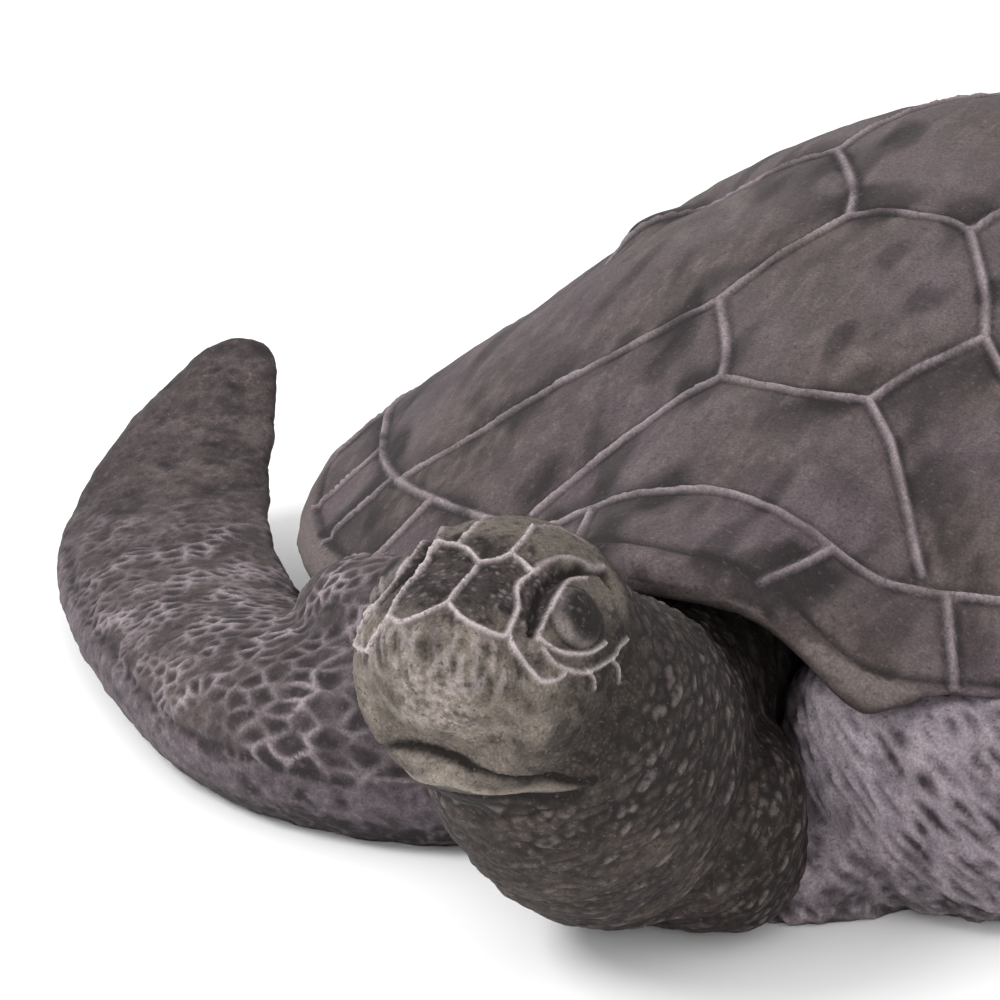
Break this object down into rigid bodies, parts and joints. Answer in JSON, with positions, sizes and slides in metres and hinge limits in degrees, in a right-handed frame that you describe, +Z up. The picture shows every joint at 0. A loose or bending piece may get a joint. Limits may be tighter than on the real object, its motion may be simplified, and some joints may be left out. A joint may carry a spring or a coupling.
{
  "type": "sea turtle statue",
  "caption": "Cast sea turtle statue lying flat, with a domed seamed shell, a raised head, swept front flippers and a flat underside.",
  "frame": {"origin": "on the ground plane of the underside, under the middle of the carapace", "axes": "+Z up; the head points along -Y and the tail along +Y; +X is the animal's left side"},
  "size_m": [0.7036, 0.8348, 0.2051],
  "materials": {
    "cast_stone": "matte dark brown-violet with paler ridges"
  },
  "bodies": {
    "root": {"sea_turtle": "cast_stone"}
  },
  "joints": []
}
